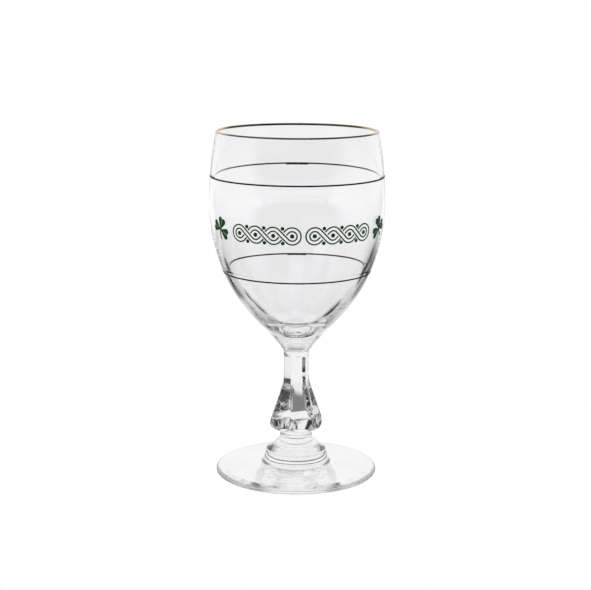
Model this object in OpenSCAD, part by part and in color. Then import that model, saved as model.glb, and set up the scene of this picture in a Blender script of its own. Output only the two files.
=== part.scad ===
// Stemmed glass for hot coffee with cream: a blown bowl on a pressed six-panel baluster and a round foot,
// with a gilt lip, two painted lines, two clovers and a printed interlace between them.
// Millimetres. Z is up, the foot stands on Z = 0, the glass is turned about the Z axis, and its
// printed front faces -Y.

/* [Overall] */
// Height from the resting ring to the top of the gilt lip
height = 152; // [144:1:160]

/* [Bowl] */
// Widest outside diameter of the bowl
belly_d = 76.2; // [73:0.2:80]
// Level of the widest part
belly_z = 120; // [117:1:123]
// Outside diameter just under the lip
rim_d = 70.2; // [68:0.2:71]
// Radius of the wall's curve from the widest part down to the flare
low_r = 73.5; // [70:0.5:77]
// Radius of the hollow flare that runs down into the stem
flare_r = 110; // [95:1:130]
// Wall thickness at the widest part
wall_t = 1.9; // [1.6:0.1:2.4]
// Wall thickness at the rounded lip
lip_t = 1.3; // [1:0.1:1.5]
// Radius of the inside curve below the widest part, tighter than the outside so that the wall thickens
cup_r = 64; // [61:0.5:65]
// Radius of the round bottom inside
well_r = 14; // [9:1:18]

/* [Stem] */
// Diameter of the seam between bowl and stem
seam_d = 12.3; // [12:0.1:13.2]
// Panels pressed round the baluster
panels = 6; // [5:1:8]
// Turn of the panels from the printed front
panel_turn = 13; // [0:1:59]
// Share of the radius left at the middle of a panel
panel_depth = 0.885; // [0.87:0.005:0.93]
// Shaft diameter over the arrises
shaft_d = 11.2; // [10:0.2:12]
// Largest diameter of the bulb over the arrises
bulb_d = 23.9; // [22:0.1:25]
// Level of the bulb's largest diameter
bulb_z = 22.3; // [21.5:0.1:23.5]
// Level at which the straight shaft begins to swell
swell_z = 45; // [43:0.5:48]
// Radius of the hollow sweep from the shaft
sweep_r = 20; // [15:1:22]
// Radius of the bulb's shoulder
shoulder_r = 8; // [6.5:0.5:9]
// Diameter of the round neck under the bulb
neck_d = 14; // [13:0.2:15]

/* [Foot] */
// Diameter of the foot
foot_d = 71; // [66:0.5:76]
// Thickness of the foot's rounded edge
edge_t = 2.5; // [2:0.1:3]
// Rise of the foot's top towards the collar, in degrees
foot_rise = 6; // [4:0.5:8]
// Diameter of the raised collar at its top edge
collar_d = 26.8; // [25:0.2:29]
// Level at which the stem sits on the collar
collar_z = 12; // [11.5:0.1:12.5]
// Depth of the hollow under the foot
hollow_h = 1; // [0.5:0.1:1.5]

/* [Decoration] */
// Thickness of paint and gold
paint_t = 0.12; // [0.1:0.01:0.2]
// Width of the painted lines
line_w = 0.65; // [0.4:0.05:1]
// Level of the upper line
upper_line_z = 132.6; // [129:0.2:138]
// Level of the lower line
lower_line_z = 91.2; // [88:0.2:96]
// Level of the middle of the printed band
print_z = 112; // [110:0.2:113]
// Radius of the interlace's loops at the middle of the ribbon
loop_r = 2.8; // [2.5:0.1:2.9]
// Width of the interlaced ribbon over its two edge lines
ribbon_w = 2.2; // [2:0.1:2.4]
// Width of each edge line of the ribbon
edge_w = 0.6; // [0.45:0.05:0.65]
// Crossings in each half of the interlace
crossings = 3; // [1:1:3]
// Gap between the halves of the interlace
middle_gap = 1.5; // [1:0.1:3]
// Angle from the printed front to the middle of each clover
clover_at = 62.5; // [61:0.5:70]
// Lean of the clovers towards the front
clover_lean = 22; // [0:1:30]

/* [Hidden] */

// Sides of a drawn circle: on the profiles, and round the glass
arc_fn = 360;
round_fn = 120;
// Larger than the glass in every direction
bound = 60;
// Where a curve runs on smoothly from a line or another curve, the two bite this far into each other,
// so that they cross cleanly
bite = 0.003;

function dir(a) = [cos(a), sin(a)];
// To the nearest micron, so that shapes which share a value meet flush
function micron(x) = round(x * 1000) / 1000;
// Where the line through p at angle a meets the line through q at angle b
function meet(p, a, q, b) = p + cross(q - p, dir(b)) / cross(dir(a), dir(b)) * dir(a);

// Bowl, outside: one arc from lip to belly, one from belly to flare, and the hollow flare itself
belly_r = belly_d / 2;
rim_r = rim_d / 2;
lip_r = lip_t / 2;
lip_z = height - paint_t - lip_r;
side_rise = lip_z - belly_z;
side_r = (pow(belly_r - rim_r, 2) + pow(side_rise, 2)) / (2 * (belly_r - rim_r));
side_c = [belly_r - side_r, belly_z];
low_c = [belly_r - low_r, belly_z];
// The flare takes over where the wall slopes at this angle
flare_at = -45;
flare_z = (low_c + low_r * dir(flare_at)).y;
flare_c = low_c + (low_r + flare_r) * dir(flare_at);
// The seam lies where the flare has come down to the stem
seam_z = micron(flare_c.y + sqrt(pow(flare_r, 2) - pow(flare_c.x - seam_d / 2, 2)));
seam_r = flare_c.x - sqrt(pow(flare_r, 2) - pow(seam_z - flare_c.y, 2));
seam_slope = asin((seam_z - flare_c.y) / flare_r);

// Bowl, lip: a round bead that both walls run into without a step
lip_c = [side_c.x + sqrt(pow(side_r - lip_r, 2) - pow(side_rise, 2)), lip_z];
in_r = belly_r - wall_t;
lip_in = in_r - lip_c.x;
in_side_r = (pow(lip_in, 2) + pow(side_rise, 2) - pow(lip_r, 2)) / (2 * (lip_r + lip_in));
in_side_c = [in_r - in_side_r, belly_z];
lip_outer = lip_c + lip_r * (lip_c - side_c) / norm(lip_c - side_c);
lip_inner = lip_c - lip_r * (lip_c - in_side_c) / norm(lip_c - in_side_c);

// Bowl, inside: the cup's arc runs into a ball at the bottom
cup_c = [in_r - cup_r, belly_z];
well_c = [0, belly_z - sqrt(pow(cup_r - well_r, 2) - pow(cup_c.x, 2))];
well_join_z = (well_c + well_r * (well_c - cup_c) / norm(well_c - cup_c)).y;

// Stem: the slope of the bulb's underside, and the round neck's fillets
under_r = 2.4;
under_slope = 30;
neck_r = neck_d / 2;
neck_fillet = 0.8;
base_fillet = 4;
base_slope = 70;
base_edge_h = 1;
base_c = [neck_r + base_fillet, collar_z + base_edge_h + base_fillet * sin(base_slope)];
base_r = micron(base_c.x - base_fillet * cos(base_slope));
shaft_r = shaft_d / 2;
bulb_r = bulb_d / 2;
// The panels end in arches below the seam
arch_r = 4;
arch_drop = 4.4;
// The blank is cut at this turn, where its own seam is clear of the panels' edges, and then set to its place
clean_turn = 13;

// Foot: its edge, the collar's domed top, rounded edge and tapering side, and the fillet at its base
foot_r = foot_d / 2;
edge_r = edge_t / 2;
edge_c = [foot_r - edge_r, edge_r];
hollow_w = 30;
hollow_r = (pow(hollow_w, 2) + pow(hollow_h, 2)) / (2 * hollow_h);
collar_edge_r = 1.5;
dome_slope = 28;
side_taper = 16;
foot_fillet = 1;
seat_r = base_r + 0.3;
collar_x = collar_d / 2 - collar_edge_r;
collar_c = [
    collar_x,
    collar_z - (collar_x + collar_edge_r * sin(dome_slope) - seat_r) * tan(dome_slope)
        - collar_edge_r * cos(dome_slope)
];

// Decoration: the prints stand on the bowl's lower arc
print_r = low_c.x + sqrt(pow(low_r, 2) - pow(belly_z - print_z, 2));
print_span = 7;
loop_pitch = 2 * sqrt(2) * loop_r;
loop_turn = loop_pitch / print_r * 180 / PI;
half_gap_turn = (middle_gap / 2 + loop_r + ribbon_w / 2) / print_r * 180 / PI;
bead_r = 0.8;
eye_r = 0.9;
under_gap = 0.35;
join_lap = 0.04;
// Where the brush met its own start, at the back of each line
line_join_at = 176;
line_join_sweep = 16;

// Profiles

// Solid from the axis out to a given radius, between two levels
module slab(radius, z0, z1) {
    translate([0, micron(z0)]) square([radius, micron(z1) - micron(z0)]);
}

// Solid from the axis out to a round arc, between two levels
module slice(centre, radius, z0, z1) {
    intersection() {
        translate(centre) circle(r = radius, $fn = arc_fn);
        slab(bound, z0, z1);
    }
}

// Solid from the axis out to a hollow arc, between two levels
module hollow_slice(centre, radius, z0, z1) {
    difference() {
        slab(centre.x, z0, z1);
        translate(centre) circle(r = radius, $fn = arc_fn);
    }
}

// Solid from the axis out to the straight line through p at angle a, between two levels
module taper_slice(p, a, z0, z1) {
    intersection() {
        polygon([p - bound * dir(a), p + bound * dir(a), p + bound * dir(a) + bound * dir(a + 90),
                 p - bound * dir(a) + bound * dir(a + 90)]);
        slab(bound, z0, z1);
    }
}

// Outside of the bowl down to the seam, running past the lip
module bowl_outside() {
    slice(side_c, side_r, belly_z, height);
    difference() {
        union() {
            slice(low_c, low_r, flare_z, belly_z);
            slab(flare_c.x, seam_z, flare_z);
        }
        translate(flare_c) circle(r = flare_r + bite, $fn = arc_fn);
    }
}

// Space inside the bowl, running past the lip
module bowl_inside() {
    slice(in_side_c, in_side_r, belly_z, height);
    slice(cup_c, cup_r, well_join_z, belly_z);
    slice(well_c, well_r + bite, seam_z, well_join_z + 1);
}

// Half profile of the baluster from the neck's top to the shaft's top: a straight shaft, a hollow
// sweep, a straight swell and a round shoulder, each tangent to the next
module swell_profile(shaft, bulb) {
    shoulder_c = [bulb - shoulder_r, bulb_z];
    sweep_c = [shaft + sweep_r, swell_z];
    between = sweep_c - shoulder_c;
    lean = atan2(between.y, between.x) - acos((sweep_r + shoulder_r) / norm(between));
    low = shoulder_c + (shoulder_r - bite) * dir(lean);
    high = sweep_c - sweep_r * dir(lean);
    slice(shoulder_c, shoulder_r, bulb_z, low.y + 1);
    difference() {
        union() {
            taper_slice(low, lean + 90, low.y, high.y);
            slab(sweep_c.x, high.y, swell_z);
            slab(shaft, swell_z, seam_z);
        }
        translate(sweep_c) circle(r = sweep_r + 2 * bite, $fn = arc_fn);
    }
}

// Round blank of the stem: bulb with its conical underside, neck, and spreading base
module stem_blank() {
    swell_profile(shaft_r, bulb_r);
    // fillet that runs on into the bowl's flare
    top_r = micron((seam_r - shaft_r) / (1 - cos(seam_slope)));
    hollow_slice([shaft_r + top_r, seam_z - top_r * sin(seam_slope)], top_r,
                 seam_z - top_r * sin(seam_slope), seam_z);
    // underside: round at its edge, then a cone
    under_c = [bulb_r - under_r, bulb_z];
    under = under_c + (under_r - bite) * dir(under_slope - 90);
    slice(under_c, under_r, collar_z, bulb_z);
    slab(under_c.x, under.y, bulb_z);
    // cone, neck, and the fillet between them
    fillet_c = meet([neck_r + neck_fillet, 0], 90,
                    under + neck_fillet * dir(under_slope - 90), under_slope);
    fillet_top = fillet_c + neck_fillet * dir(under_slope + 90);
    difference() {
        union() {
            taper_slice(under, under_slope, fillet_top.y, under.y);
            slab(fillet_c.x, fillet_c.y, fillet_top.y);
            slab(neck_r, base_c.y, fillet_c.y);
        }
        translate(fillet_c) circle(r = neck_fillet + bite, $fn = arc_fn);
    }
    // spreading base
    difference() {
        slab(base_r, collar_z, base_c.y);
        translate(base_c) circle(r = base_fillet, $fn = arc_fn);
    }
}

// Profile from the axis to the middle of a panel, which runs out in an arch under the seam
module panel_profile() {
    shaft = micron(panel_depth * shaft_r);
    bulb = micron(panel_depth * bulb_r);
    intersection() {
        swell_profile(shaft, bulb);
        slab(bound, 0, seam_z - arch_drop);
    }
    hollow_slice([shaft + arch_r, seam_z - arch_drop], arch_r, seam_z - arch_drop, seam_z);
    slab(bulb, 0, bulb_z);
}

// Foot with its collar, from the axis out
module foot_outside() {
    rim = edge_c + (edge_r - bite) * dir(90 - foot_rise);
    side = collar_c + (collar_edge_r - bite) * dir(side_taper);
    dome = collar_c + (collar_edge_r - bite) * dir(90 - dome_slope);
    corner = meet(side, side_taper - 90, rim, 180 - foot_rise);
    polygon([[0, 0], [edge_c.x, 0], edge_c, rim, corner, side, collar_c, dome,
             [seat_r, collar_z], [0, collar_z]]);
    translate(edge_c) circle(r = edge_r, $fn = arc_fn);
    translate(collar_c) circle(r = collar_edge_r, $fn = arc_fn);
    fillet_c = meet(side + foot_fillet * dir(side_taper), side_taper - 90,
                    rim + foot_fillet * dir(90 - foot_rise), 180 - foot_rise);
    difference() {
        polygon([corner - [1, 1], fillet_c - foot_fillet * dir(90 - foot_rise), fillet_c,
                 fillet_c - foot_fillet * dir(side_taper)]);
        translate(fillet_c) circle(r = foot_fillet + bite, $fn = arc_fn);
    }
}

// Glass

// Pressed foot: a thin disc, hollow below so that it stands on a ring, with a domed collar
module foot() {
    color([0.90, 0.93, 0.93, 0.5])
        rotate_extrude($fn = round_fn)
            difference() {
                foot_outside();
                translate([0, hollow_h - hollow_r]) circle(r = hollow_r, $fn = arc_fn);
            }
}

// Pressed stem: a turned blank with flat-sided panels that follow the swell
module stem() {
    color([0.82, 0.86, 0.88, 0.6])
        rotate([0, 0, panel_turn - clean_turn])
            difference() {
                rotate_extrude($fn = round_fn) stem_blank();
                for (k = [0 : panels - 1])
                    rotate([0, 0, clean_turn + k * 360 / panels])
                        beyond_panel();
            }
}

// What a panel takes off the blank: everything beyond a surface that is straight across the panel
module beyond_panel() {
    rotate([90, 0, -90])
        translate([0, 0, -bound / 2])
            linear_extrude(height = bound)
                difference() {
                    translate([shaft_r / 2, 0]) square([bulb_r, seam_z]);
                    panel_profile();
                }
}

// Blown bowl: thin at the lip, heavy towards the stem
module bowl() {
    color([0.88, 0.92, 0.93, 0.4])
        rotate_extrude($fn = round_fn) {
            intersection() {
                difference() {
                    bowl_outside();
                    bowl_inside();
                }
                polygon([[0, seam_z], [bound, seam_z], [bound, lip_z], lip_outer, lip_c,
                         lip_inner, [0, lip_z]]);
            }
            translate(lip_c) circle(r = lip_r + bite, $fn = arc_fn);
        }
}

// Gold and paint

// Gold fired over the rounded lip
module rim_gilding() {
    color([0.80, 0.62, 0.30])
        rotate_extrude($fn = round_fn)
            intersection() {
                difference() {
                    translate(lip_c) circle(r = lip_r + paint_t, $fn = arc_fn);
                    translate(lip_c) circle(r = lip_r + bite, $fn = arc_fn);
                }
                polygon([lip_c, lip_c + 3 * (lip_outer - lip_c), lip_c + [0, 5 * lip_r],
                         lip_c + 3 * (lip_inner - lip_c)]);
            }
}

// Section of a coat of paint on one of the bowl's arcs, between two levels
module coat(centre, radius, z0, z1) {
    difference() {
        slice(centre, radius + paint_t, z0, z1);
        translate(centre) circle(r = radius, $fn = arc_fn);
    }
}

// Painted line round the bowl, wider where the brush ran on over its start
module painted_line(centre, radius, level) {
    start = line_join_at - 90 - line_join_sweep / 2;
    rotate_extrude($fn = round_fn)
        coat(centre, radius, level - line_w / 2, level + line_w / 2);
    intersection() {
        rotate_extrude($fn = round_fn)
            coat(centre, radius, level - line_w, level);
        translate([0, 0, level - 1])
            linear_extrude(height = 2)
                polygon([[0, 0], bound * dir(start), bound * dir(start + line_join_sweep)]);
    }
}

module upper_line() {
    color([0.07, 0.07, 0.08]) painted_line(side_c, side_r, upper_line_z);
}

module lower_line() {
    color([0.10, 0.11, 0.14]) painted_line(low_c, low_r, lower_line_z);
}

// Lays a flat motif onto the bowl as a coat of paint, at an angle from the printed front
module printed(turn) {
    intersection() {
        rotate_extrude($fn = round_fn)
            coat(low_c, low_r, print_z - print_span, print_z + print_span);
        rotate([0, 0, turn])
            translate([0, 0, print_z])
                rotate([90, 0, 0])
                    linear_extrude(height = bound)
                        children();
    }
}

// The two edge lines of a ribbon bent round a loop, from angle a0 to a1
module ribbon_bend(a0, a1) {
    far = 3 * (loop_r + ribbon_w);
    intersection() {
        for (outer = [loop_r + ribbon_w / 2, loop_r - ribbon_w / 2 + edge_w])
            difference() {
                circle(r = outer, $fn = round_fn);
                circle(r = outer - edge_w, $fn = round_fn);
            }
        polygon(concat([[0, 0]], [for (k = [0 : 3]) far * dir(a0 + k * (a1 - a0) / 3)]));
    }
}

// The two edge lines of a straight ribbon along X, from x0 to x1
module ribbon_straight(x0, x1) {
    for (edge = [-ribbon_w / 2, ribbon_w / 2 - edge_w])
        translate([x0, edge]) square([x1 - x0, edge_w]);
}

// What leads to a crossing from its left: the loop there, and the end of the ribbon that has just
// passed under another; at the end of the band the loop closes and passes under at this crossing
module ribbon_side(end) {
    stub = [ribbon_w / 2 + under_gap, loop_r + join_lap];
    translate([-loop_pitch / 2, 0]) ribbon_bend(45, end ? 315 : 135);
    if (end) rotate([0, 0, 225]) ribbon_straight(stub[0], stub[1]);
    else translate([-loop_pitch, 0]) rotate([0, 0, 45]) ribbon_straight(stub[0], stub[1]);
}

// One length of ribbon, between the two places where it passes under, and what lies on its middle
module interlace_length(first, last) {
    rotate([0, 0, -45]) ribbon_straight(-loop_r - join_lap, loop_r + join_lap);
    ribbon_side(first);
    rotate([0, 0, 180]) ribbon_side(last);
    for (side = [-1, 1])
        translate([0, side * (loop_r + ribbon_w / 2 - bead_r)]) circle(r = bead_r, $fn = round_fn);
    translate([-loop_pitch / 2, 0]) circle(r = eye_r, $fn = round_fn);
    if (last) translate([loop_pitch / 2, 0]) circle(r = eye_r, $fn = round_fn);
}

// Half of the interlace: two ribbons that twist round each other and close in a loop at each end
module interlace(first_loop_turn) {
    color([0.03, 0.25, 0.12])
        for (k = [0 : crossings - 1])
            printed(first_loop_turn + (k + 0.5) * loop_turn)
                interlace_length(k == 0, k == crossings - 1);
}

module interlace_left() {
    interlace(-half_gap_turn - crossings * loop_turn);
}

module interlace_right() {
    interlace(half_gap_turn);
}

// Heart-shaped leaf that points at the origin: two round lobes and straight sides
module leaf() {
    lobe_c = [1.2, 4.1];
    lobe_r = 1.3;
    reach = sqrt(pow(norm(lobe_c), 2) - pow(lobe_r, 2));
    touch = reach * dir(atan2(lobe_c.y, lobe_c.x) - asin(lobe_r / norm(lobe_c)));
    for (side = [-1, 1])
        translate([side * lobe_c.x, lobe_c.y]) circle(r = lobe_r, $fn = round_fn);
    polygon([[0, 0], touch, lobe_c, [-lobe_c.x, lobe_c.y], [-touch.x, touch.y]]);
}

// Three leaves with a pale vein each, and a short curved stalk
module clover(turn, lean) {
    vein_w = 0.25;
    leaf_turn = 92;
    stalk_r = 6;
    stalk_w = 0.6;
    color([0.03, 0.25, 0.12])
        printed(turn)
            rotate([0, 0, lean]) {
                for (k = [-1 : 1])
                    rotate([0, 0, k * leaf_turn])
                        difference() {
                            leaf();
                            translate([-vein_w / 2, 2.2]) square([vein_w, 4]);
                        }
                intersection() {
                    translate([stalk_r, 0])
                        difference() {
                            circle(r = stalk_r + stalk_w / 2, $fn = round_fn);
                            circle(r = stalk_r - stalk_w / 2, $fn = round_fn);
                        }
                    translate([-1, -4]) square([3, 4.5]);
                }
            }
}

module clover_left() {
    clover(-clover_at, -clover_lean);
}

module clover_right() {
    clover(clover_at, clover_lean);
}

foot();
stem();
bowl();
rim_gilding();
upper_line();
lower_line();
interlace_left();
interlace_right();
clover_left();
clover_right();
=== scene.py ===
from math import acos, asin, atan2, cos, degrees, hypot, pi, radians, sin, sqrt, tan

import bpy
import numpy as np
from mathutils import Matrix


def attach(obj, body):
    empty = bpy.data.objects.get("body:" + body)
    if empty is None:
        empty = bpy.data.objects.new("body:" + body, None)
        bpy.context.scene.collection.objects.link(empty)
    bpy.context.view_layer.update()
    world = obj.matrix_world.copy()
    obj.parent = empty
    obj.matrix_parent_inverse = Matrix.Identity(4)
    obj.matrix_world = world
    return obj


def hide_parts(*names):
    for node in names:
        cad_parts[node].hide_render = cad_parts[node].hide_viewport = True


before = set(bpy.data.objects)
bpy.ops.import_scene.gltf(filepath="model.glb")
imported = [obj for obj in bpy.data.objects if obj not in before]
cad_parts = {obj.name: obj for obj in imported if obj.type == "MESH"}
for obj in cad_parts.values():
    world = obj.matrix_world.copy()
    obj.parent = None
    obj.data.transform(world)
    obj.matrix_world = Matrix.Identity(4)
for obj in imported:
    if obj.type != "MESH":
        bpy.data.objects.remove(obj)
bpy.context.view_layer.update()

# Camera. It stands 643 mm from the glass, a little to the left of the printed front, and looks slightly
# down. Place, tilt and lens come from the rings at lip, lines and foot as the photo shows them.
camera_away = 0.643
camera_aside = -0.0011
camera_height = 0.2119
camera_turn = radians(-4)
camera_tilt = 0.2026
camera_roll = radians(-0.25)
camera_data = bpy.data.cameras.new("camera")
camera_data.lens = 91.2
camera = bpy.data.objects.new("camera", camera_data)
camera.location = (
    camera_away * sin(camera_turn) + camera_aside * cos(camera_turn),
    -camera_away * cos(camera_turn) + camera_aside * sin(camera_turn),
    camera_height,
)
camera.rotation_euler = (pi / 2 - camera_tilt, camera_roll, camera_turn)
bpy.context.scene.collection.objects.link(camera)
bpy.context.scene.camera = camera


# Foot. A pressed disc of clear glass with a domed collar in its middle. It is hollow below, so that it
# stands on the ring under its edge, and the stem is fused onto the flat seat on top of the collar.
def arc(centre, radius, start, end, points):
    """Points on a circle, from one angle to another in degrees: centre plus radius times (cosine, sine)."""
    turn = np.radians(np.linspace(start, end, points))
    return np.stack([centre[0] + radius * np.cos(turn), centre[1] + radius * np.sin(turn)], 1)


def straight(start, end, points):
    """Points spaced evenly on the line between two points."""
    return np.linspace(start, end, points)


def towards(angle):
    """A step of 1 mm at an angle in degrees: (cosine, sine)."""
    return np.array([cos(radians(angle)), sin(radians(angle))])


def crossing(first, first_angle, second, second_angle):
    """Where the line through a first point at an angle, in degrees, meets the line through a second point."""
    steps = np.stack([towards(first_angle), -towards(second_angle)], 1)
    along = np.linalg.solve(steps, np.subtract(second, first))[0]
    return np.add(first, along * towards(first_angle))


def skin(name, radius, height, turn, fused):
    """A closed skin round the axis, in mm: each point is (radius cos turn, radius sin turn, height). The
    first and last rows lie on the axis and become one point each. fused marks the rows of faces that are
    joined to the next piece of glass."""
    rows, columns = radius.shape
    ring = np.stack([radius * np.cos(turn), radius * np.sin(turn), height], 2)[1:-1].reshape(-1, 3)
    foot_pole = [0, 0, height[0, 0]]
    head_pole = [0, 0, height[-1, 0]]
    points = np.concatenate([[foot_pole], ring, [head_pole]]) * 0.001
    row, column = np.mgrid[0 : rows - 3, 0:columns]
    after = (column + 1) % columns
    here = 1 + row * columns
    quads = np.stack([here + column, here + after, here + columns + after, here + columns + column], 2)
    around = np.arange(columns)
    onward = (around + 1) % columns
    last = 1 + (rows - 3) * columns
    first_fan = np.stack([0 * around, 1 + onward, 1 + around], 1)
    last_fan = np.stack([last + around, last + onward, 0 * around + len(points) - 1], 1)
    corners = np.concatenate([first_fan.ravel(), quads.ravel(), last_fan.ravel()])
    sizes = np.concatenate([np.full(columns, 3), np.full(quads.size // 4, 4), np.full(columns, 3)])
    mesh = bpy.data.meshes.new(name)
    mesh.vertices.add(len(points))
    mesh.vertices.foreach_set("co", points.ravel())
    mesh.loops.add(len(corners))
    mesh.loops.foreach_set("vertex_index", corners)
    mesh.polygons.add(len(sizes))
    mesh.polygons.foreach_set("loop_start", np.cumsum(sizes) - sizes)
    mesh.polygons.foreach_set("material_index", np.repeat(fused, columns).astype(int))
    mesh.polygons.foreach_set("use_smooth", ~np.repeat(fused, columns))
    mesh.update()
    mesh.validate()
    piece = bpy.data.objects.new(name, mesh)
    bpy.context.scene.collection.objects.link(piece)
    return piece


def turned(name, profile, columns, fused):
    """A closed skin of revolution: the same profile in every column, at even turns round the axis."""
    turn = np.linspace(0, 2 * pi, columns, endpoint=False)
    radius, height, turn = np.broadcast_arrays(profile[:, :1], profile[:, 1:], turn)
    return skin(name, radius, height, turn, fused)


class Wire:
    """One output of a shader node. Sums of wires and plain numbers add the Math nodes that they stand for."""

    def __init__(self, socket):
        self.socket = socket

    def math(self, operation, *terms):
        node = self.socket.id_data.nodes.new("ShaderNodeMath")
        node.operation = operation
        for socket, term in zip(node.inputs, terms):
            if isinstance(term, Wire):
                self.socket.id_data.links.new(term.socket, socket)
            else:
                socket.default_value = term
        return Wire(node.outputs[0])

    def __add__(self, other):
        return self.math("ADD", self, other)

    def __sub__(self, other):
        return self.math("SUBTRACT", self, other)

    def __rsub__(self, other):
        return self.math("SUBTRACT", other, self)

    def __mul__(self, other):
        return self.math("MULTIPLY", self, other)

    def __gt__(self, other):
        return self.math("GREATER_THAN", self, other)

    __radd__ = __add__
    __rmul__ = __mul__


class Recipe:
    """The nodes of one material or of the studio, put together from its first node to its output."""

    def __init__(self, tree):
        self.tree = tree
        tree.nodes.clear()

    def node(self, kind, settings=None, sockets=None):
        """A node of any type, with its settings made first, and then the values or wires of its sockets."""
        node = self.tree.nodes.new("ShaderNode" + kind)
        for name, value in (settings or {}).items():
            setattr(node, name, value)
        for name, value in (sockets or {}).items():
            if isinstance(value, Wire):
                self.tree.links.new(value.socket, node.inputs[name])
            else:
                node.inputs[name].default_value = value
        return node

    def wire(self, kind, output, settings=None, sockets=None):
        """One output of a new node."""
        return Wire(self.node(kind, settings, sockets).outputs[output])

    def ramp(self, value, low, high, start=0.0, end=1.0, curve="LINEAR"):
        """start where the value is low, end where it is high, and a straight or smooth change between. low
        may be the greater of the two."""
        limits = {"Value": value, "From Min": low, "From Max": high, "To Min": start, "To Max": end}
        return self.wire("MapRange", "Result", {"interpolation_type": curve}, limits)

    def blend(self, share, start, end):
        """The colour start where the share is 0, and the colour end where it is 1, which are a Mix node's
        sockets 6, 7 and 0. Output 2 is its colour."""
        return self.wire("Mix", 2, {"data_type": "RGBA"}, {0: share, 6: start, 7: end})

    def bump(self, height, strength, distance):
        """A normal that leans as if the surface rose by the distance, in metres, for a height of 1."""
        sockets = {"Height": height, "Strength": strength, "Distance": distance}
        return self.wire("Bump", "Normal", {}, sockets)

    def surface(self, sockets):
        """The shader of a solid surface with these sockets, and the material's output."""
        shader = self.wire("BsdfPrincipled", "BSDF", {}, sockets)
        self.node("OutputMaterial", {}, {"Surface": shader})


def new_material(name):
    """A material with an empty node tree, and the recipe that fills it."""
    material = bpy.data.materials.new(name)
    material.use_nodes = True
    return material, Recipe(material.node_tree)


def clear_glass(name, ripple, ripple_size):
    """Clear soda glass, fire polished. ripple is the height in metres of the slow waves that the mould and
    the flame leave in the surface, and ripple_size their length. A drying cloth left a few faint marks."""
    material, recipe = new_material(name)
    place = recipe.wire("TexCoord", "Object")
    waves = recipe.wire(
        "TexNoise", "Fac", {}, {"Vector": place, "Scale": 1 / ripple_size, "Detail": 1.0, "Roughness": 0.4}
    )
    streaks = recipe.wire("TexNoise", "Fac", {}, {"Vector": place, "Scale": 25.0, "Detail": 2.0})
    cloth = recipe.wire(
        "TexNoise", "Fac", {}, {"Vector": place, "Scale": 60.0, "Detail": 4.0, "Distortion": 1.0}
    )
    recipe.surface(
        {
            "Base Color": recipe.blend(streaks, (0.984, 0.984, 0.994, 1), (0.994, 0.993, 1.0, 1)),
            "Roughness": recipe.ramp(cloth, low=0.62, high=0.8, start=0.0, end=0.02),
            "Normal": recipe.bump(waves, strength=1.0, distance=ripple),
            "IOR": 1.52,
            "Transmission Weight": 1.0,
        }
    )
    return material


# Where two pieces of glass are fused there is no surface left, so the faces there let everything through.
fused_glass, recipe = new_material("fused_glass")
recipe.surface({"Alpha": 0.0})

# sizes in mm and angles in degrees; a pair is the centre of an arc, its distance from the axis and its height
foot_r = 35.5
foot_edge_r = 1.25
foot_edge = (foot_r - foot_edge_r, foot_edge_r)
foot_rise = 6
collar_r = 13.4
collar_edge_r = 1.5
collar_taper = 16
collar_z = 12
dome_slope = 28
# the seat fits the stem's base, which spreads from the neck in a hollow curve
neck_r = 7
base_fillet_r = 4
base_slope = 70
stem_base_r = round(neck_r + base_fillet_r - base_fillet_r * cos(radians(base_slope)), 3)
seat_r = stem_base_r + 0.3
collar_x = collar_r - collar_edge_r
out_of_dome = towards(90 - dome_slope)
dome_drop = (collar_x + collar_edge_r * out_of_dome[0] - seat_r) * tan(radians(dome_slope))
collar_edge = (collar_x, collar_z - dome_drop - collar_edge_r * out_of_dome[1])
edge_arc = arc(foot_edge, foot_edge_r, -90, 90 - foot_rise, 24)
collar_arc = arc(collar_edge, collar_edge_r, collar_taper, 90 - dome_slope, 12)
fillet_r = 1
out_of_side = towards(collar_taper)
out_of_top = towards(90 - foot_rise)
fillet = crossing(
    collar_arc[0] + fillet_r * out_of_side,
    collar_taper - 90,
    edge_arc[-1] + fillet_r * out_of_top,
    180 - foot_rise,
)
hollow_h = 1
hollow_reach = 30
hollow_r = (hollow_reach**2 + hollow_h**2) / (2 * hollow_h)
fused_rows = 3
foot_profile = np.concatenate(
    [
        arc((0, hollow_h - hollow_r), hollow_r, 90, 90 - degrees(asin(hollow_reach / hollow_r)), 40),
        straight((hollow_reach + 0.2, 0), (foot_edge[0] - 0.25, 0), 6),
        edge_arc,
        straight(edge_arc[-1], fillet - fillet_r * out_of_top, 60)[1:],
        arc(fillet, fillet_r, 270 - foot_rise, 180 + collar_taper, 10)[1:],
        straight(fillet - fillet_r * out_of_side, collar_arc[0], 14)[1:-1],
        collar_arc,
        straight(collar_arc[-1], (seat_r, collar_z), 8)[1:],
        straight((stem_base_r, collar_z), (0, collar_z), fused_rows + 1),
    ]
)
foot_fused = np.arange(len(foot_profile) - 1) >= len(foot_profile) - 1 - fused_rows
foot = turned("foot_glass", foot_profile, 256, foot_fused)
foot.data.materials.append(clear_glass("pressed_glass_of_foot", ripple=0.00002, ripple_size=0.012))
foot.data.materials.append(fused_glass)
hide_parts("foot")
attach(foot, "root")


# Stem. A pressed baluster of clear glass: a round blank that is cut flat on six sides, with a narrow round
# arris left between them. Below are a cone, a neck and a spreading base, and on top the panels end in arches.
bulb_z = 22.3
swell_z = 45


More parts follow.
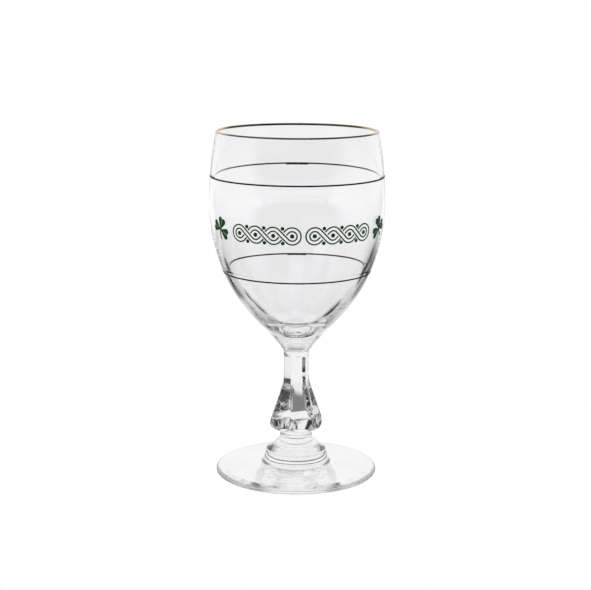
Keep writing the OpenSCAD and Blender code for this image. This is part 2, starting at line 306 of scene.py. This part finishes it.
def swell(shaft, bulb):
    """Profile from the bulb's widest place to the shaft: a round shoulder, a straight line that touches it,
    and a hollow sweep that touches the line and ends upright on the shaft."""
    shoulder_r, sweep_r = 8, 20
    shoulder = (bulb - shoulder_r, bulb_z)
    sweep = (shaft + sweep_r, swell_z)
    across, up = np.subtract(sweep, shoulder)
    lean = degrees(atan2(up, across) - acos((sweep_r + shoulder_r) / hypot(across, up)))
    rounded = arc(shoulder, shoulder_r, 0, lean, 24)
    swept = arc(sweep, sweep_r, 180 + lean, 180, 40)
    return np.concatenate([rounded, straight(rounded[-1], swept[0], 50)[1:-1], swept])


bulb_r = 11.95
shaft_r = 5.6
under_r = 2.4
under_slope = 30
under = (bulb_r - under_r, bulb_z)
under_arc = arc(under, under_r, under_slope - 90, 0, 20)
neck_fillet_r = 0.8
out_of_cone = towards(under_slope - 90)
neck_fillet = crossing(
    (neck_r + neck_fillet_r, 0), 90, under_arc[0] + neck_fillet_r * out_of_cone, under_slope
)
neck_arc = arc(neck_fillet, neck_fillet_r, 180, 90 + under_slope, 12)
base_edge_z = collar_z + 1
base_fillet = (neck_r + base_fillet_r, base_edge_z + base_fillet_r * sin(radians(base_slope)))
# the bowl's wall comes down in one arc and runs on in a hollow flare, which ends at the seam
belly_r = 38.1
belly_z = 120
low_r = 73.5
low = (belly_r - low_r, belly_z)
flare_r = 110
flare_at = -45
flare = low + (low_r + flare_r) * towards(flare_at)
seam_r = 6.15
seam_z = flare[1] + sqrt(flare_r**2 - (flare[0] - seam_r) ** 2)
seam_slope = degrees(asin((seam_z - flare[1]) / flare_r))
top_r = (seam_r - shaft_r) / (1 - cos(radians(seam_slope)))
top_fillet = (shaft_r + top_r, seam_z - top_r * sin(radians(seam_slope)))
blank = np.concatenate(
    [
        straight((0, collar_z), (stem_base_r, collar_z), fused_rows + 1),
        straight((stem_base_r, collar_z + 0.05), (stem_base_r, base_edge_z), 6),
        arc(base_fillet, base_fillet_r, 180 + base_slope, 180, 30)[1:],
        neck_arc,
        straight(neck_arc[-1], under_arc[0], 26)[1:-1],
        under_arc,
        swell(shaft_r, bulb_r)[1:],
        straight((shaft_r, swell_z), (shaft_r, top_fillet[1]), 40)[1:-1],
        arc(top_fillet, top_r, 180, 180 - seam_slope, 14),
        straight((seam_r, seam_z), (0, seam_z), fused_rows + 1)[1:],
    ]
)
panels = 6
panel_turn = 13
panel_depth = 0.885
arch_r = 4
arch_drop = 4.4
arch = arc((panel_depth * shaft_r + arch_r, seam_z - arch_drop), arch_r, 180, 90, 40)
panel = np.concatenate([swell(panel_depth * shaft_r, panel_depth * bulb_r), arch])
panel_r = np.interp(blank[:, 1], panel[:, 1], panel[:, 0])
# the spreading base and the round end above the arches stay uncut
uncut_r = 20
base_top_z = collar_z + 4
panel_r[blank[:, 1] > arch[-1, 1]] = uncut_r
panel_r[blank[:, 1] < base_top_z] = uncut_r

# the front panel is turned a little from -90 degrees, which is the printed front; the columns stand closer
# together near an arris, and one stands on each arris
half_panel = np.concatenate([np.linspace(0, 25, 11), np.linspace(25.5, 180 / panels, 10)])
one_panel = np.concatenate([-half_panel[:0:-1], half_panel[:-1]])
panel_centres = 360 / panels * np.arange(panels) - 90 + panel_turn
off_centre = np.tile(one_panel, panels)
turn = np.repeat(panel_centres, len(one_panel)) + off_centre
flat_side = panel_r[:, None] / np.cos(np.radians(off_centre))
round_side = blank[:, :1]
# the smaller of the two sides, with a soft change between them: the round side plus half of the gap less the
# root of gap squared plus soften squared, and a last term that makes up for the change at a wide gap
soften = 0.1
wide_gap = 3
gap = flat_side - round_side
soft_side = round_side + (gap - np.sqrt(gap**2 + soften**2)) / 2 + soften**2 / (4 * wide_gap)
stem_r = np.minimum(soft_side, round_side)
stem_z, stem_turn = np.broadcast_arrays(blank[:, 1:], np.radians(turn))
rows = np.arange(len(blank) - 1)
stem_fused = (rows < fused_rows) | (rows >= len(rows) - fused_rows)
stem = skin("stem_glass", stem_r, stem_z, stem_turn, stem_fused)
stem.data.materials.append(clear_glass("pressed_glass_of_stem", ripple=0.00002, ripple_size=0.006))
stem.data.materials.append(fused_glass)
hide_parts("stem")
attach(stem, "root")


# Bowl. A blown cup of clear glass: thin and nearly upright at the rounded lip, heavy below, where the inside
# ends in a ball and the outside runs on down in a hollow flare to the seam with the stem.
rim_r = 35.1
lip_r = 0.65
lip_z = 151.23
lip_rise = lip_z - belly_z
side_r = ((belly_r - rim_r) ** 2 + lip_rise**2) / (2 * (belly_r - rim_r))
side = (belly_r - side_r, belly_z)
lip = (side[0] + sqrt((side_r - lip_r) ** 2 - lip_rise**2), lip_z)
wall = 1.9
inner_r = belly_r - wall
lip_in = inner_r - lip[0]
inner_side_r = (lip_in**2 + lip_rise**2 - lip_r**2) / (2 * (lip_r + lip_in))
inner_side = (inner_r - inner_side_r, belly_z)
cup_r = 64
cup = (inner_r - cup_r, belly_z)
well_r = 14
well = (0, belly_z - sqrt((cup_r - well_r) ** 2 - cup[0] ** 2))
well_lean = degrees(atan2(well[1] - cup[1], well[0] - cup[0]))
lip_lean = degrees(atan2(lip_rise, lip[0] - side[0]))
inner_lean = degrees(atan2(lip_rise, lip[0] - inner_side[0]))
bowl_profile = np.concatenate(
    [
        straight((0, seam_z), (seam_r, seam_z), fused_rows + 1),
        arc(flare, flare_r, 180 - seam_slope, 180 + flare_at, 30)[1:],
        arc(low, low_r, flare_at, 0, 110)[1:],
        arc(side, side_r, 0, lip_lean, 50)[1:],
        arc(lip, lip_r, lip_lean, 180 + inner_lean, 24)[1:],
        arc(inner_side, inner_side_r, inner_lean, 0, 50)[1:],
        arc(cup, cup_r, 0, well_lean, 100)[1:],
        arc(well, well_r, well_lean, -90, 36)[1:],
    ]
)
bowl_fused = np.arange(len(bowl_profile) - 1) < fused_rows
bowl = turned("bowl_glass", bowl_profile, 240, bowl_fused)
bowl.data.materials.append(clear_glass("blown_glass_of_bowl", ripple=0.00002, ripple_size=0.02))
bowl.data.materials.append(fused_glass)
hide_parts("bowl")
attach(bowl, "root")


# Gilding. Liquid gold was brushed over the lip and fired: a thin metal. Its colour holds a painted
# reflection: dark at front and back and pale at the left and right ends, as if it mirrored a dark room and
# bright sides. A fine noise adds a little wear.
gold, recipe = new_material("fired_gold")
place = recipe.wire("TexCoord", "Object")
wear = recipe.wire("TexNoise", "Fac", {}, {"Vector": place, "Scale": 180.0, "Detail": 5.0})
across = recipe.wire("SeparateXYZ", "X", {}, {0: place})
# painted reflection: 1 at the left and right ends of the lip, where the gold is painted pale, and 0 at front
# and back
painted_sheen_at_ends = recipe.ramp(across * across, low=0.027**2, high=0.034**2, curve="SMOOTHSTEP")
# the gold's colour where the painted reflection is dark, and where it is pale; the noise also moves it a
# little towards the pale one
painted_dark_gold = (0.03, 0.017, 0.006, 1)
worn_and_painted_pale_gold = (0.9, 0.66, 0.34, 1)
recipe.surface(
    {
        "Base Color": recipe.blend(wear * 0.2 + painted_sheen_at_ends * 0.7, painted_dark_gold, worn_and_painted_pale_gold),
        "Roughness": recipe.ramp(wear, low=0.3, high=0.7, start=0.06, end=0.2),
        "Normal": recipe.bump(wear, strength=0.5, distance=0.00003),
        "Metallic": 1.0,
    }
)


def finish_node(name, material):
    """Gives a CAD node its material."""
    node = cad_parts[name]
    node.data.materials.clear()
    node.data.materials.append(material)


finish_node("rim_gilding", gold)


# Painted lines. Black enamel, brushed on while the glass turned on a wheel, and then fired. The brush left it
# thicker in some places than in others.
def enamel(name, thick, thin):
    """Fired enamel: a colour between those for thick and thin, an uneven gloss and a slightly grainy face."""
    material, recipe = new_material(name)
    place = recipe.wire("TexCoord", "Object")
    grain = recipe.wire("TexNoise", "Fac", {}, {"Vector": place, "Scale": 700.0, "Detail": 4.0})
    drift = recipe.wire("TexNoise", "Fac", {}, {"Vector": place, "Scale": 120.0, "Detail": 2.0})
    thinned = recipe.ramp(grain * 0.5 + drift * 0.5, low=0.35, high=0.65)
    recipe.surface(
        {
            "Base Color": recipe.blend(thinned, thick, thin),
            "Roughness": thinned * 0.15 + 0.35,
            "Normal": recipe.bump(grain, strength=0.6, distance=0.00003),
            "Specular IOR Level": 0.08,
        }
    )
    return material


black_enamel = enamel("black_enamel", thick=(0.001, 0.001, 0.002, 1), thin=(0.004, 0.004, 0.006, 1))
finish_node("upper_line", black_enamel)
finish_node("lower_line", black_enamel)


# Print. Green enamel, screen printed in one pass and fired: an interlace of two ribbons, in two halves, with
# a clover at each end of it.
green_enamel = enamel("green_enamel", thick=(0, 0.04, 0.004, 1), thin=(0, 0.10, 0.012, 1))
finish_node("clover_left", green_enamel)
finish_node("clover_right", green_enamel)
finish_node("interlace_left", green_enamel)
finish_node("interlace_right", green_enamel)


# Studio. A white table that runs back without an edge, and a softly lit room round it. Looked at straight,
# both are white. The glass mirrors the rest: a bright sweep at the back, grey sides, three windows, a dark
# room behind the camera, and light and dark places on the table.
def laid(level, value, share):
    """The level, changed to the value where the share is 1."""
    return level + (value - level) * share


def pool(recipe, place, x, y, inner, outer):
    """1 on the table nearer to (x, y) than inner, falling smoothly to 0 at outer, in metres."""
    centre = (x, y, floor_z)
    away = recipe.wire("VectorMath", "Value", {"operation": "DISTANCE"}, {0: place, 1: centre})
    return recipe.ramp(away, low=outer, high=inner, curve="SMOOTHSTEP")


floor_half = 60
floor_z = -0.0002
floor_mesh = bpy.data.meshes.new("floor")
floor_corners = floor_half * np.array([(-1, -1, 0), (1, -1, 0), (1, 1, 0), (-1, 1, 0)])
floor_mesh.from_pydata((floor_corners + (0, 0, floor_z)).tolist(), [], [(0, 1, 2, 3)])
floor = bpy.data.objects.new("floor", floor_mesh)
bpy.context.scene.collection.objects.link(floor)
floor_material, recipe = new_material("pale_floor")
place = recipe.wire("NewGeometry", "Position")
# what the glass shows of the table behind it, with a shade on the table just behind the foot
straight_on = laid(0.96, 0.955, pool(recipe, place, 0, 0, 0.06, 0.12))
round_foot = laid(pool(recipe, place, 0, 0, 0.046, 0.05), 0.0, pool(recipe, place, 0, 0, 0.034, 0.038))
straight_on = laid(straight_on, 0.25, round_foot * pool(recipe, place, 0.008, 0.04, 0.018, 0.03))
# what the glass mirrors of the table: brightness, x, y, and how far it reaches in full and at all, in metres
mirrored = 0.95
for value, *spot in (
    # the wide places, which are pale behind the glass and dark on the camera's side
    (0.74, 0, 0, 0.95, 1.1),
    (0.4, 0, 0, 0.3, 0.8),
    (1.0, 0, 0.8, 0.43, 0.6),
    (0.85, -0.1, 0.17, 0.1, 0.18),
    (0.8, 0.08, 0.13, 0.05, 0.12),
    (0.65, 0, 0.04, 0.04, 0.07),
    (0.1, 0, -1.2, 0.9, 1.15),
    (0.02, 0, -0.08, 0.07, 0.14),
    # light that the glass throws on the table under its foot and round it
    (0.95, 0, 0.028, 0.024, 0.032),
    (0.5, -0.03, -0.06, 0.015, 0.03),
    (0.6, -0.055, -0.005, 0.012, 0.022),
    # dark places at both sides of the glass and behind it
    (0.0, 0.2, 0.14, 0.04, 0.1),
    (0.1, -0.25, 0.08, 0.08, 0.18),
    (0.0, -0.068, 0.073, 0.008, 0.018),
    (0.05, -0.048, 0.058, 0.01, 0.018),
    (0.05, -0.125, 0.16, 0.015, 0.04),
    (0.0, 0.052, 0.052, 0.013, 0.021),
    (0.05, 0.105, 0.125, 0.01, 0.02),
    (0.05, 0.145, 0.125, 0.02, 0.05),
    (0.0, 0, 0.074, 0.016, 0.028),
):
    mirrored = laid(mirrored, value, pool(recipe, place, *spot))
seen_by_camera = recipe.wire("LightPath", "Is Camera Ray")
in_a_mirror = recipe.wire("LightPath", "Glossy Depth") > 0.5
brightness = laid(laid(straight_on, mirrored, in_a_mirror), 1.0, seen_by_camera)
floor_shader = recipe.wire("Emission", "Emission", {}, {"Color": (1, 1, 1, 1), "Strength": brightness})
recipe.node("OutputMaterial", {}, {"Surface": floor_shader})
floor.data.materials.append(floor_material)


def glow(recipe, direction, turn, rise, inner, outer):
    """1 in the room within inner of a direction, falling smoothly to 0 at outer, in degrees. The direction is
    a turn from the back towards the right and a rise, and nearness is the cosine of the angle to it."""
    turn, rise = radians(turn), radians(rise)
    centre = (sin(turn) * cos(rise), cos(turn) * cos(rise), sin(rise))
    nearness = recipe.wire("VectorMath", "Value", {"operation": "DOT_PRODUCT"}, {0: direction, 1: centre})
    return recipe.ramp(nearness, low=cos(radians(outer)), high=cos(radians(inner)), curve="SMOOTHSTEP")


studio = bpy.data.worlds.new("studio")
studio.use_nodes = True
bpy.context.scene.world = studio
recipe = Recipe(studio.node_tree)
direction = recipe.wire("TexCoord", "Generated")
# what the glass mirrors of the room: brightness, turn, rise, and how far it reaches in full and at all
room = 0.42
for value, *spot in (
    (0.9, 0, 28, 30, 52),  # sweep at the back
    (0.0, 155, 22, 28, 42),  # dark room behind the camera
    (0.1, 67, 18, 8, 14),  # dark place at the right
    (0.02, 203, 31, 12, 18),  # dark place behind the camera
    (0.9, 183, 50, 10, 16),  # window high behind the camera
    (1.0, 226, 31, 8, 13),  # window behind the camera, at its left
    (1.0, 274, 46, 12, 20),  # window at the left
    (0.02, 252, 43, 6, 10),  # pillar between the two
    (0.02, 272, 24, 6, 10),  # sill below the left window
):
    room = laid(room, value, glow(recipe, direction, *spot))
# low down the walls are pale, apart from the one behind the camera
height = recipe.wire("SeparateXYZ", "Z", {}, {0: direction})
low_band = recipe.ramp(height, low=0.2, high=0.12, curve="SMOOTHSTEP")
room = laid(room, laid(0.85, 0.1, glow(recipe, direction, 180, 0, 50, 75)), low_band)
seen_by_camera = recipe.wire("LightPath", "Is Camera Ray")
brightness = laid(room, 1.0, seen_by_camera)
room_light = recipe.wire("Background", "Background", {}, {"Color": (1, 1, 1, 1), "Strength": brightness})
recipe.node("OutputWorld", {}, {"Surface": room_light})

# light passes through many walls of glass before it leaves the stem, so rays have many turns left
scene = bpy.context.scene
scene.view_settings.view_transform = "Standard"
scene.cycles.max_bounces = 200
scene.cycles.diffuse_bounces = 60
scene.cycles.transmission_bounces = 200
scene.cycles.glossy_bounces = 200
scene.cycles.transparent_max_bounces = 64
